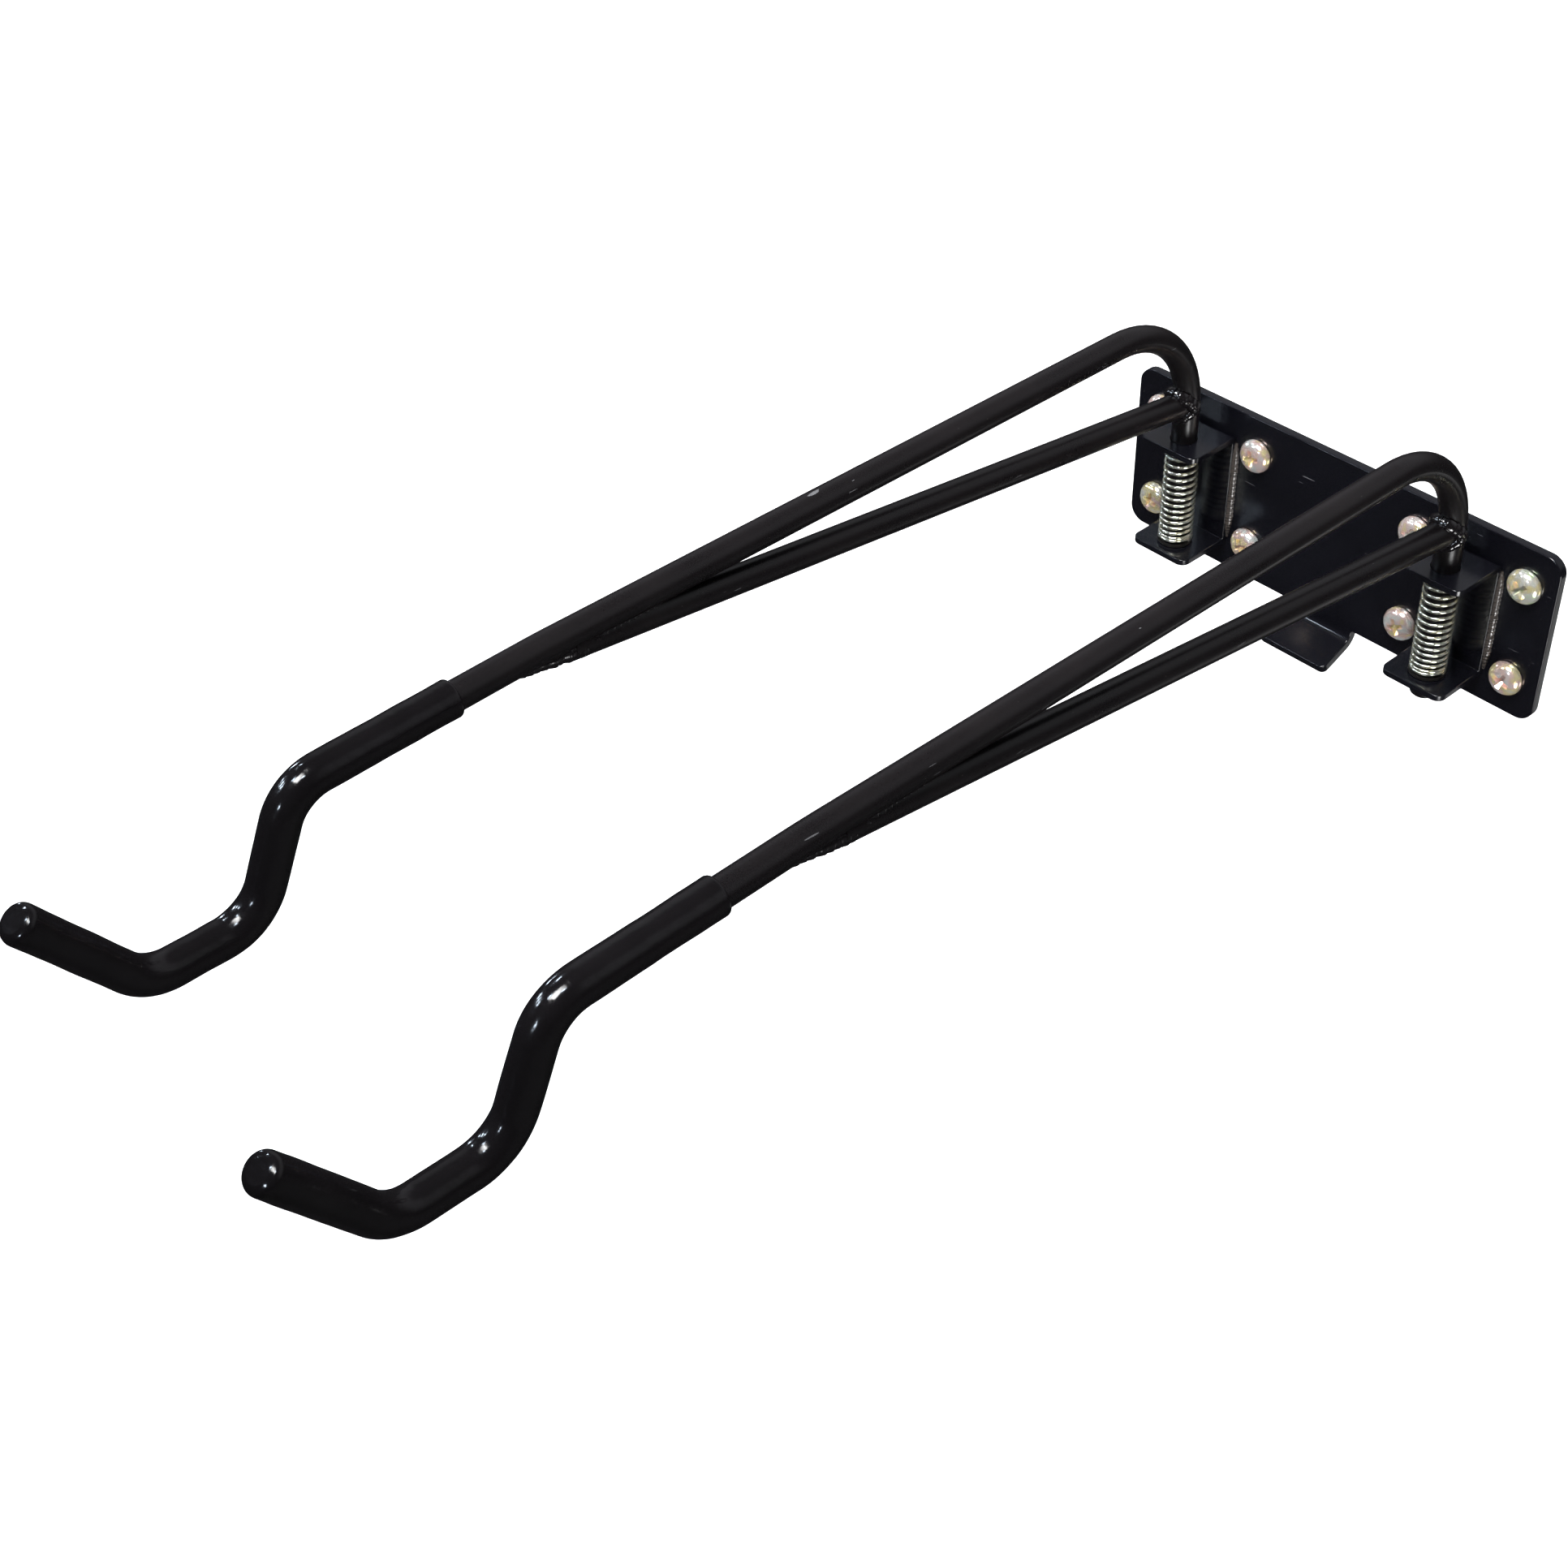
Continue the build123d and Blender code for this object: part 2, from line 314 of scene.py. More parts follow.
def zinc(name, tints, roughness, patch, metallic):
    """Plated steel whose tint drifts over patches of a given size."""
    material, bench = start_finish(name)
    place = object_place(bench)
    shift = bench.node("ShaderNodeAttribute", {"attribute_name": "tint"}, None, "Fac")
    film = clouds(bench, place, patch, 3.0)
    grain = clouds(bench, place, 0.3 * MM, 2.0)
    ramp = bench.node("ShaderNodeValToRGB", {"stops": tints}, {"Fac": film * 1.5 - 0.25 + shift})
    stain = clouds(bench, place, 2.4 * patch, 5.0)
    colour = mixed(bench, (stain > 0.66) * 0.35, ramp, STAIN)
    skin = bumps(bench, grain, 0.02 * MM, 0.35)
    dullness = (grain - 0.5) * 0.18 + (stain - 0.5) * 0.1 + roughness
    varying = {"Base Color": colour, "Roughness": dullness, "Normal": skin}
    end_finish(bench, varying, {"Metallic": metallic})
    return material


SILVER = (0.82, 0.80, 0.76)
screw_tints = [
    (0.0, (0.70, 0.86, 0.52)),
    (0.25, SILVER),
    (0.45, (0.90, 0.79, 0.40)),
    (0.62, (0.86, 0.62, 0.58)),
    (0.80, SILVER),
    (1.0, (0.66, 0.78, 0.74)),
]
spring_tints = [
    (0.0, (0.80, 0.86, 0.66)),
    (0.4, (0.88, 0.89, 0.80)),
    (0.7, (0.90, 0.87, 0.66)),
    (1.0, (0.82, 0.84, 0.80)),
]
# Each plating: name, tints, roughness, patch size, metallic share.
screw_zinc = zinc("screw_rainbow_zinc", screw_tints, 0.18, 5 * MM, 0.75)
spring_zinc = zinc("spring_zinc", spring_tints, 0.18, 4 * MM, 0.92)
print("plated:", screw_zinc.name, spring_zinc.name)

# %% [markdown]
# The sleeves are soft vinyl, dipped or shrunk over the hooks. It is glossier than the coat, with
# slow waves where it followed the bar and small pimples, so a highlight on it breaks up into spots.

# %% Vinyl and ring steel
VINYL_FRESH, VINYL_SCUFFED = (0.0024, 0.0021, 0.0024, 1), (0.0052, 0.0045, 0.0052, 1)
STEEL_DARK, STEEL_BARE = (0.020, 0.019, 0.018, 1), (0.06, 0.055, 0.05, 1)


def vinyl():
    """Glossy black plastic with slow waves in it."""
    material, bench = start_finish("sleeve_vinyl")
    place = object_place(bench)
    waves = clouds(bench, place, 7 * MM, 2.0)
    pimples = clouds(bench, place, 1.6 * MM, 2.0)
    scuffs = clouds(bench, place, 26 * MM, 6.0)
    skin = bumps(bench, waves + pimples * 0.10, 0.34 * MM, 0.8)
    colour = mixed(bench, scuffs, VINYL_FRESH, VINYL_SCUFFED)
    dullness = (scuffs - 0.5) * 0.14 + (pimples - 0.5) * 0.04 + 0.13
    varying = {"Base Color": colour, "Roughness": dullness, "Normal": skin}
    end_finish(bench, varying, {"Specular IOR Level": 0.42, "IOR": COAT_IOR})
    return material


def ring_steel():
    """Dark spring steel with a fine grain."""
    material, bench = start_finish("ring_dark_steel")
    place = object_place(bench)
    grain = clouds(bench, place, 0.5 * MM, 3.0)
    colour = mixed(bench, grain, STEEL_DARK, STEEL_BARE)
    end_finish(bench, {"Base Color": colour, "Roughness": grain * 0.3 + 0.3}, {"Metallic": 0.8})
    return material


sleeve_vinyl = vinyl()
ring_dark_steel = ring_steel()
print("also:", sleeve_vinyl.name, ring_dark_steel.name)


# %% [markdown]
# ## Shapes that follow a rule
# Springs, screws and weld beads repeat or run along a line, so a Geometry Nodes tree makes each.
# A tree has named inputs for its sizes. They are set by the sockets' identifiers before the object is
# looked at for the first time, and then the result is kept as a plain mesh.

# %% Helpers for a shape tree
class Shape(Bench):
    """A Geometry Nodes tree with named sizes, and the steps to use it."""

    def __init__(self, name, sizes):
        super().__init__(bpy.data.node_groups.new(name, "GeometryNodeTree"))
        self.identifiers = {}
        face = self.tree.interface
        face.new_socket("Geometry", in_out="INPUT", socket_type="NodeSocketGeometry")
        face.new_socket("Geometry", in_out="OUTPUT", socket_type="NodeSocketGeometry")
        for label, kind in {**sizes, "Finish": "Material"}.items():
            made = face.new_socket(label, in_out="INPUT", socket_type=f"NodeSocket{kind}")
            self.identifiers[label] = made.identifier
        self.entry = self.tree.nodes.new("NodeGroupInput")

    def size(self, label):
        """The wire of one of the tree's inputs."""
        return Wire(self, self.entry.outputs[label])

    def line(self):
        """The start mesh as a curve."""
        return self.node("GeometryNodeMeshToCurve", None, {"Mesh": self.size("Geometry")})

    def evened(self, curve):
        """A curve with a point at every Step of its length."""
        values = {"Curve": curve, "Length": self.size("Step")}
        return self.node("GeometryNodeResampleCurve", {"mode": "LENGTH"}, values)

    def number(self, name):
        """A number that the start mesh has at each point."""
        kind = {"data_type": "FLOAT"}
        return self.node("GeometryNodeInputNamedAttribute", kind, {"Name": name})

    def circle(self, steps):
        """A circle of radius 1."""
        values = {"Resolution": steps, "Radius": 1.0}
        return self.node("GeometryNodeCurvePrimitiveCircle", None, values)

    def swept(self, curve, profile, scale):
        """A closed solid: the profile is carried along the curve and scaled at each point."""
        values = {"Curve": curve, "Profile Curve": profile, "Scale": scale, "Fill Caps": True}
        return self.node("GeometryNodeCurveToMesh", None, values)

    def random(self, low, high, seed):
        """A random number for each point, always the same for the same seed."""
        values = {"Min_001": low, "Max_001": high, "Seed": seed}
        return self.node("FunctionNodeRandomValue", {"data_type": "FLOAT"}, values, "Value_001")

    def on_points(self, shape, rotation=(0, 0, 0)):
        """A copy of a shape on each point of the start mesh."""
        values = {"Points": self.size("Geometry"), "Instance": shape, "Rotation": rotation}
        return self.node("GeometryNodeInstanceOnPoints", None, values)

    def end(self, geometry, smooth=True):
        """Realizes and paints what was made, smoothed first unless it has sharp edges."""
        if smooth:
            geometry = self.node("GeometryNodeSetShadeSmooth", None, {"Geometry": geometry})
        real = self.node("GeometryNodeRealizeInstances", None, {"Geometry": geometry})
        values = {"Geometry": real, "Material": self.size("Finish")}
        painted = self.node("GeometryNodeSetMaterial", None, values)
        out = self.tree.nodes.new("NodeGroupOutput")
        self.tree.links.new(painted.socket, out.inputs["Geometry"])

    def make(self, name, start, **sizes):
        """Runs the tree on a start mesh and returns the object with a plain mesh."""
        piece = add_object(name, start)
        modifier = piece.modifiers.new(self.tree.name, "NODES")
        modifier.node_group = self.tree
        for label, value in sizes.items():
            modifier[self.identifiers[label.replace("_", " ")]] = value
        return settled(piece)


def add_object(name, mesh):
    """A new object at the origin that shows this mesh."""
    piece = bpy.data.objects.new(name, mesh)
    bpy.context.scene.collection.objects.link(piece)
    return piece


def settled(piece):
    """Keeps what the modifiers show as the piece's own plain mesh."""
    bpy.context.view_layer.update()
    graph = bpy.context.evaluated_depsgraph_get()
    shown = piece.evaluated_get(graph)
    plain = bpy.data.meshes.new_from_object(shown, preserve_all_data_layers=True, depsgraph=graph)
    piece.modifiers.clear()
    piece.data = plain
    return piece


def kept_mesh(name, work):
    """Keeps a working mesh under a name."""
    mesh = bpy.data.meshes.new(name)
    work.to_mesh(mesh)
    work.free()
    return mesh


def path_mesh(name, points, **numbers):
    """A line of points as a mesh, with one number a point for each named attribute."""
    mesh = bpy.data.meshes.new(name)
    mesh.from_pydata(points, [(k, k + 1) for k in range(len(points) - 1)], [])
    for label, values in numbers.items():
        mesh.attributes.new(label, "FLOAT", "POINT").data.foreach_set("value", values)
    return mesh


def put(piece, body, slot, *stands_for):
    """Hands a finished piece to the frame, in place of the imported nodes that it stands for."""
    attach(piece, body)
    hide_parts(*stands_for)
    print(piece.name, "rides on", body, "with", len(piece.data.polygons), "faces")


# %% [markdown]
# ## The wall plate and the two brackets
# All three are cut and bent from sheet. The drawing gives them knife-sharp edges, but an edge that
# has been coated is always a little round, and that thin line of light along an edge is what makes
# steel look like steel. So each is copied, its loose triangles are joined, its flat faces are merged
# and a small bevel goes round the sharp edges. The normals then follow the large faces, so these
# stay flat in the light and only the bevels are rounded.

# %% Soften the edges of sheet parts
def sheet_piece(name, node, edge_round, coat):
    """A copy of a packed sheet part with small round edges."""
    work = bmesh.new()
    work.from_mesh(nodes[node].data)
    bmesh.ops.remove_doubles(work, verts=work.verts, dist=0.002 * MM)
    bmesh.ops.dissolve_limit(work, angle_limit=radians(0.5), verts=work.verts, edges=work.edges)
    mesh = kept_mesh(name, work)
    mesh.shade_smooth()
    mesh.materials.clear()
    mesh.materials.append(coat)
    piece = add_object(name, mesh)
    bevel = piece.modifiers.new("edge", "BEVEL")
    bevel.width = edge_round
    bevel.segments = 3
    bevel.limit_method = "ANGLE"
    bevel.angle_limit = radians(40)
    bevel.use_clamp_overlap = False
    flat = piece.modifiers.new("flat", "WEIGHTED_NORMAL")
    flat.weight = 100
    return settled(piece)


plate = sheet_piece("plate_with_tab", "wall_plate", 0.55 * MM, plate_coat)
put(plate, "wall_bracket", "powder_coat", "wall_plate")
for side in SIDES:
    bent = sheet_piece(f"{side}_bent_bracket", f"{side}_bracket", 0.4 * MM, bracket_coat)
    put(bent, "wall_bracket", "powder_coat", f"{side}_bracket")

# %% [markdown]
# ## Springs
# Each spring is one wire wound round the leg. A real compression spring has closed ends, where the
# last turns lie on each other so that it stands straight. The rule has three parts: closed turns
# below, open turns, and closed turns above, and the height is a sum of three clipped terms. The
# open turns stand a little wider towards the top, which the square in the middle term gives. A
# straight line is divided into many points, each point is moved onto that rule, and a small circle
# runs along it.

# %% The spring tree
SNUG = 2.04
spring_sizes = ("Coil radius", "Wire radius", "Height", "Turns")
spring_sizes += ("Closed below", "Closed above", "Widening")
spring_shape = Shape("wound_spring", {**dict.fromkeys(spring_sizes, "Float"), "Points": "Int"})
straight = spring_shape.node("GeometryNodeCurvePrimitiveLine", None, {"End": (0, 0, 1)})
divided = {"Curve": straight, "Count": spring_shape.size("Points")}
many = spring_shape.node("GeometryNodeResampleCurve", None, divided)
turns = spring_shape.size("Turns")
closed_below = spring_shape.size("Closed below")
closed_above = spring_shape.size("Closed above")
wire = spring_shape.size("Wire radius")
tight = wire * SNUG
room = spring_shape.size("Height") - wire * 2 - tight * (closed_below + closed_above)
open_turns = turns - closed_below - closed_above
turn = spring_shape.node("GeometryNodeSplineParameter", None, None, "Factor") * turns
above = (turn - (turns - closed_above)).at_least(0)
between = (turn - closed_below).at_least(0) - above
share = between / open_turns
widening = spring_shape.size("Widening")
opened = room * share * (1 - widening + share * widening)
height = turn.at_most(closed_below) * tight + opened + above * tight + wire
coil = spring_shape.size("Coil radius")
around = {"X": (turn * tau).cosine() * coil, "Y": (turn * tau).sine() * coil, "Z": height}
point = spring_shape.node("ShaderNodeCombineXYZ", None, around)
helix = spring_shape.node("GeometryNodeSetPosition", None, {"Geometry": many, "Position": point})
wound = spring_shape.swept(helix, spring_shape.circle(14), wire)
spring_shape.end(spring_shape.on_points(wound))

# %% Wind both springs
WIRE_RADIUS = 0.74 * MM
DRAWN_WIRE_RADIUS = 0.9 * MM
SPRING_TURNS = 16.6
POINTS_A_TURN = 40

for side in SIDES:
    low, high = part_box(f"{side}_spring")
    foot = Vector((pivot[side].x, pivot[side].y, low.z))
    spring = spring_shape.make(
        f"{side}_wound_spring",
        path_mesh("spring_foot", [foot]),
        Coil_radius=(high.x - low.x) / 2 - DRAWN_WIRE_RADIUS,
        Wire_radius=WIRE_RADIUS,
        Height=high.z - low.z,
        Turns=SPRING_TURNS,
        Closed_below=2.0,
        Closed_above=1.2,
        Widening=0.16,
        Points=17 * POINTS_A_TURN,
        Finish=spring_zinc,
    )
    put(spring, f"{side}_spring_body", "spring_zinc", f"{side}_spring")
    lift = next(joint for joint in frame["joints"] if joint["name"] == f"{side}_lift")
    travel = lift["range_m"][1]
    keep = 1 - travel / (high.z - low.z)
    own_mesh(spring)

# %% [markdown]
# ## Wall screws
# One screw is made carefully and the tree repeats it: a domed pan head with a cross recess, a plain
# neck through the plate and a machine thread behind it. The head and shank are one outline turned
# about the axis. The recess is cut with a tapered cross. The thread is a small wedge wound round
# the core. The screws were driven by hand, so each stops at its own angle, which a seeded random
# turn gives.

# %% Make one screw
screw_low, screw_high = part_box("left_upper_outer_screw")
HEAD_RADIUS = (screw_high.x - screw_low.x) / 2
HEAD_HEIGHT = plate_front - screw_low.y
SCREW_LENGTH = screw_high.y - plate_front
NECK_RADIUS, NECK_END = 3.7 * MM, 4.9 * MM
THREAD_CORE, THREAD_CREST = 3.35 * MM, 3.98 * MM
THREAD_START, THREAD_PITCH = 5.6 * MM, 1.25 * MM
RECESS_SPAN, RECESS_FLOOR_SPAN = 9.7 * MM, 3.4 * MM
RECESS_WIDTH, RECESS_FLOOR_WIDTH = 2.5 * MM, 1.5 * MM
RECESS_DEPTH = 3.4 * MM
ABOVE_HEAD = 0.4 * MM


def turned(name, outline, steps):
    """An outline of (radius, y) points turned about the Y axis into a closed solid."""
    work = bmesh.new()
    rings = []
    for radius, y in outline:
        if radius == 0:
            rings.append([work.verts.new((0, y, 0))])
        else:
            angles = [tau * k / steps for k in range(steps)]
            rings.append([work.verts.new((radius * cos(a), y, radius * sin(a))) for a in angles])
    for ring, following in zip(rings, rings[1:]):
        for k in range(steps):
            corner = [ring[k % len(ring)], ring[(k + 1) % len(ring)]]
            corner += [following[(k + 1) % len(following)], following[k % len(following)]]
            work.faces.new(list(dict.fromkeys(corner)))
    bmesh.ops.recalc_face_normals(work, faces=work.faces)
    return kept_mesh(name, work)


def recess_cutter():
    """Two wings that cross and get narrower with depth."""
    work = bmesh.new()
    top = -HEAD_HEIGHT - ABOVE_HEAD
    levels = (
        (RECESS_SPAN / 2, RECESS_WIDTH / 2, top),
        (RECESS_FLOOR_SPAN / 2, RECESS_FLOOR_WIDTH / 2, top + RECESS_DEPTH),
    )
    for swap in (False, True):
        corners = []
        for reach, half, y in levels:
            for a, b in ((-1, -1), (1, -1), (1, 1), (-1, 1)):
                x, z = (b * half, a * reach) if swap else (a * reach, b * half)
                corners.append(work.verts.new((x, y, z)))
        bmesh.ops.convex_hull(work, input=corners)
    return kept_mesh("recess_cutter", work)


def thread(start, end, steps=20):
    """A wedge wound round the core, running out at both ends."""
    work = bmesh.new()
    count = int((end - start) / THREAD_PITCH * steps)
    base = THREAD_CORE - 0.15 * MM
    loops = []
    for k in range(count + 1):
        angle = tau * k / steps
        grown = min(1, k / steps, (count - k) / steps)
        tip = base + (THREAD_CREST - base) * grown
        loop = []
        for radius, pitches in ((base, -0.42), (tip, -0.08), (tip, 0.08), (base, 0.42)):
            y = start + THREAD_PITCH * k / steps + pitches * THREAD_PITCH
            loop.append(work.verts.new((radius * cos(angle), y, radius * sin(angle))))
        loops.append(loop)
    for loop, following in zip(loops, loops[1:]):
        for k in range(4):
            work.faces.new((loop[k], loop[(k + 1) % 4], following[(k + 1) % 4], following[k]))
    work.faces.new(loops[0])
    work.faces.new(loops[-1])
    bmesh.ops.recalc_face_normals(work, faces=work.faces)
    return kept_mesh("thread", work)


# %% Cut the recess and add the thread
dome = [(0.0, 1.0), (0.22, 0.995), (0.42, 0.965), (0.6, 0.90), (0.76, 0.79), (0.88, 0.64), (0.96, 0.46)]
dome += [(1.0, 0.26), (1.0, 0.12), (0.975, 0.03), (0.93, 0.0)]
outline = [(r * HEAD_RADIUS, -h * HEAD_HEIGHT) for r, h in dome]
outline += [(NECK_RADIUS, 0.0), (NECK_RADIUS, NECK_END), (THREAD_CORE, NECK_END + 0.4 * MM)]
outline += [(THREAD_CORE, SCREW_LENGTH - 0.7 * MM), (2.7 * MM, SCREW_LENGTH), (0.0, SCREW_LENGTH)]
screw = add_object("screw_pattern", turned("screw_pattern", outline, 48))
cutter = add_object("recess_cutter", recess_cutter())
cut = screw.modifiers.new("recess", "BOOLEAN")
cut.object = cutter
cut.solver = "EXACT"
cut.use_self = True
settled(screw)
work = bmesh.new()
work.from_mesh(screw.data)
work.from_mesh(thread(THREAD_START, SCREW_LENGTH - 0.9 * MM))
work.to_mesh(screw.data)
work.free()
screw.data.shade_smooth()
screw.data.set_sharp_from_angle(angle=radians(38))
bpy.data.objects.remove(cutter)
print("one screw has", len(screw.data.polygons), "faces")

# %% Drive the eight screws
screw_shape = Shape("driven_screws", {"Screw": "Object", "Seed": "Int"})
model = {"Object": screw_shape.size("Screw")}
pattern = screw_shape.node("GeometryNodeObjectInfo", None, model, "Geometry")
seed = screw_shape.size("Seed")
spin = screw_shape.random(0.0, pi / 2, seed)
turned_by = screw_shape.node("ShaderNodeCombineXYZ", None, {"Y": spin})
driven = screw_shape.on_points(pattern, turned_by)
tint = screw_shape.random(-0.25, 0.25, seed + 7)
tinted = screw_shape.node(
    "GeometryNodeStoreNamedAttribute",
    {"data_type": "FLOAT", "domain": "INSTANCE"},
    {"Geometry": driven, "Name": "tint", "Value": tint},
)
screw_shape.end(tinted, smooth=False)
middles = [middle_of(node) for node in screws]
places = [Vector((middle.x, plate_front, middle.z)) for middle in middles]
dots = bpy.data.meshes.new("screw_places")
dots.from_pydata(places, [], [])
all_screws = screw_shape.make("wall_screws", dots, Screw=screw, Seed=4, Finish=screw_zinc)
bpy.data.objects.remove(screw)
put(all_screws, "wall_bracket", "screw_zinc", *screws)

# %% [markdown]
# ## Weld beads
# A weld bead is metal that was melted drop by drop, so it has ripples across it, one for
# each time the torch paused, and its width wanders. One tree makes every bead on the rack: it follows
# a line, and its thickness is the line's own size times a ripple and a slow random wander.

# %% The weld tree
DRIFT_SIZE = 1 / 260
WELD_STEP = 0.35 * MM
weld_sizes = ("Ripple", "Ripple depth", "Wander", "Flatness", "Step")
weld_shape = Shape("weld_bead", dict.fromkeys(weld_sizes, "Float"))
fine = weld_shape.evened(weld_shape.line())
upright = weld_shape.node("GeometryNodeSetCurveNormal", {"mode": "Z_UP"}, {"Curve": fine})
run = weld_shape.node("GeometryNodeSplineParameter", None, None, "Length")
spot = weld_shape.node("GeometryNodeInputPosition")
drift = clouds(weld_shape, spot, DRIFT_SIZE, 2.0)
phase = run / weld_shape.size("Ripple") + drift * 1.2
drop = phase.math("FRACT", phase)
ripple = 1 - drop * drop * weld_shape.size("Ripple depth")
thickness = weld_shape.number("size") * ripple * (1 + (drift - 0.5) * weld_shape.size("Wander"))
flatter = {"X": 1.0, "Y": weld_shape.size("Flatness"), "Z": 1.0}
squeeze = weld_shape.node("ShaderNodeCombineXYZ", None, flatter)
squeezed = {"Geometry": weld_shape.circle(28), "Scale": squeeze}
oval = weld_shape.node("GeometryNodeTransform", None, squeezed)
weld_shape.end(weld_shape.swept(upright, oval, thickness))


def weld(name, points, sizes, ripple, depth, flatness, wander=0.5, coat=weld_coat):
    """A bead along the points, with its half width at each, and ripples of a length and depth."""
    return weld_shape.make(
        name,
        path_mesh(name, points, size=sizes),
        Ripple=ripple,
        Ripple_depth=depth,
        Wander=wander,
        Flatness=flatness,
        Step=WELD_STEP,
        Finish=coat,
    )


def joined(name, parts, coat):
    """Several pieces as one, in one coat."""
    work = bmesh.new()
    for part in parts:
        work.from_mesh(part.data)
        bpy.data.objects.remove(part)
    mesh = kept_mesh(name, work)
    mesh.materials.append(coat)
    return add_object(name, mesh)


# %% Beads along the bracket webs
WEB_BEAD = 2.4 * MM
WEB_PARTS = 12

for side in SIDES:
    low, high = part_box(f"{side}_bracket")
    beads_low, beads_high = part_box(f"{side}_bracket_welds")
    tall = beads_high.z - beads_low.z
    steps = range(WEB_PARTS + 1)
    sizes = [WEB_BEAD * min(1, 0.35 + 0.4 * min(k, WEB_PARTS - k)) for k in steps]
    beads = []
    for x in (low.x, high.x):
        line = [Vector((x, plate_front, beads_low.z + tall * k / WEB_PARTS)) for k in steps]
        # These beads get the coat whose lighter colour is a painted sheen, standing in for mirrored
        # light.
        bead = weld(f"{side}_bead", line, sizes, 2.2 * MM, 0.16, flatness=1.0, coat=painted_sheen_weld_coat)
        beads.append(bead)
    web_beads = joined(f"{side}_web_beads", beads, painted_sheen_weld_coat)
    put(web_beads, "wall_bracket", "coated_weld", f"{side}_bracket_welds")

# %% [markdown]
# Where the brace meets the leg the bead runs right round it. The brace is a cylinder that ends on
# another cylinder, so the seam is their saddle-shaped meeting line: going round the brace by an angle,
# the line's distance from the leg's axis is what is left of the leg's circle at that width. At the
# other end the brace meets the underside of the arm, and the metal fills the groove between the two
# bars and goes on past the brace's end. Until the kink it sits between the bars, and from there on
# it blends into a wedge with an underside of its own.

# %% Beads between brace, leg and arm
ROD = 6.0 * MM
ARM_Z = 96.0 * MM
ARM_DIP, ARM_DIP_OUT = 0.032, 362 * MM
BRACE = 5.9 * MM
BRACE_Z, BRACE_SLOPE, BRACE_OUT = 47.7 * MM, 0.123, 350 * MM
COLLAR_PARTS, COLLAR_SHIFT = 48, 1.5 * MM
WELD_START, WELD_END, WELD_PARTS = 300 * MM, 374 * MM, 40
WELD_ENTRY, WELD_BLEND = 7 * MM, 9 * MM
WELD_KINK, WELD_LOW, WELD_SLOPE, WELD_FLAT = 336 * MM, 83.0 * MM, 0.145, 0.85


def place_on(side, out, z, across=0.0):
    """A point of an arm, from its distance to the pivot axis and its height."""
    return Vector((pivot[side].x + across, pivot[side].y - out, z))


def arm_height(out):
    """Height of the arm bar's axis, which dips a little near the hook."""
    return ARM_Z - ARM_DIP * max(0.0, out - ARM_DIP_OUT)


def brace_height(out):
    """Height of the brace's axis, as far as the brace goes."""
    return BRACE_Z + BRACE_SLOPE * min(out, BRACE_OUT)


def collar_point(side, around):
    """A point of the seam round the brace, where it meets the leg."""
    across = BRACE * sin(around)
    out = (ROD**2 - across**2) ** 0.5
    height = BRACE_Z + BRACE_SLOPE * out + BRACE * cos(around)
    return place_on(side, out + COLLAR_SHIFT, height, across)


def groove_bead(out):
    """Height and half width of the bead between brace and arm."""
    apart = arm_height(out) - brace_height(out)
    waist = (ROD**2 - (apart / 2) ** 2) ** 0.5 if apart < 2 * ROD else 0
    entry = min(1, (out - WELD_START) / WELD_ENTRY)
    past_end = max(0, out - BRACE_OUT) / (WELD_END - BRACE_OUT)
    size = 6.0 * MM - 3.0 * MM * past_end
    level = WELD_LOW + WELD_SLOPE * max(0, out - WELD_KINK) + WELD_FLAT * size
    between = 1 - min(1, max(0, out - WELD_KINK) / WELD_BLEND)
    size += between * (waist + 0.5 * MM * entry - size)
    level += between * (arm_height(out) - apart / 2 - level)
    return level, max(0.4 * MM, size * (0.3 + 0.7 * entry))


for side in SIDES:
    angles = [tau * k / COLLAR_PARTS for k in range(COLLAR_PARTS + 1)]
    seam_points = [collar_point(side, around) for around in angles]
    sizes = [(3.2 + 0.7 * cos(around)) * MM for around in angles]
    collar = weld(f"{side}_leg_bead", seam_points, sizes, 3.0 * MM, 0.16, flatness=0.95, wander=0.7)
    put(collar, f"{side}_arm", "coated_weld", f"{side}_rear_weld")
    outs = [WELD_START + (WELD_END - WELD_START) * k / WELD_PARTS for k in range(WELD_PARTS + 1)]
    levels, sizes = zip(*(groove_bead(out) for out in outs))
    groove = [place_on(side, out, level) for out, level in zip(outs, levels)]
    fill = weld(f"{side}_arm_bead", groove, sizes, 3.4 * MM, 0.10, WELD_FLAT, wander=0.3)
    put(fill, f"{side}_arm", "coated_weld", f"{side}_front_weld")

# %% [markdown]
# ## Sleeves
# A sleeve is a closed tube over the hook. Its line is four straight runs with three round bends, so
# the tree takes the corners, rounds each with its own bend radius and runs a circle along the result.
# Near each end the circle shrinks along a quarter arc, which rounds the closed tip and the rear lip.

# %% The sleeve tree
LIP_LENGTH = 9 * MM
WANDER_SIZE = 1 / 60
sleeve_sizes = ("Radius", "Tip round", "Lip round", "Lip swell", "Unevenness", "Step")
sleeve_shape = Shape("bent_sleeve", dict.fromkeys(sleeve_sizes, "Float"))
rounded = {
    "Curve": sleeve_shape.line(),
    "Count": 32,
    "Radius": sleeve_shape.number("bend"),
    "Limit Radius": False,
}
bent = sleeve_shape.node("GeometryNodeFilletCurve", {"mode": "POLY"}, rounded)
done = sleeve_shape.node("GeometryNodeSplineParameter", None, None, "Length")
whole = sleeve_shape.node("GeometryNodeSplineLength", None, None, "Length")


def arc_drop(distance, radius):
    """How much a round end has shrunk at a distance from the end of the tube."""
    short = (radius - distance).at_least(0)
    return radius - (radius * radius - short * short).at_least(0).root()


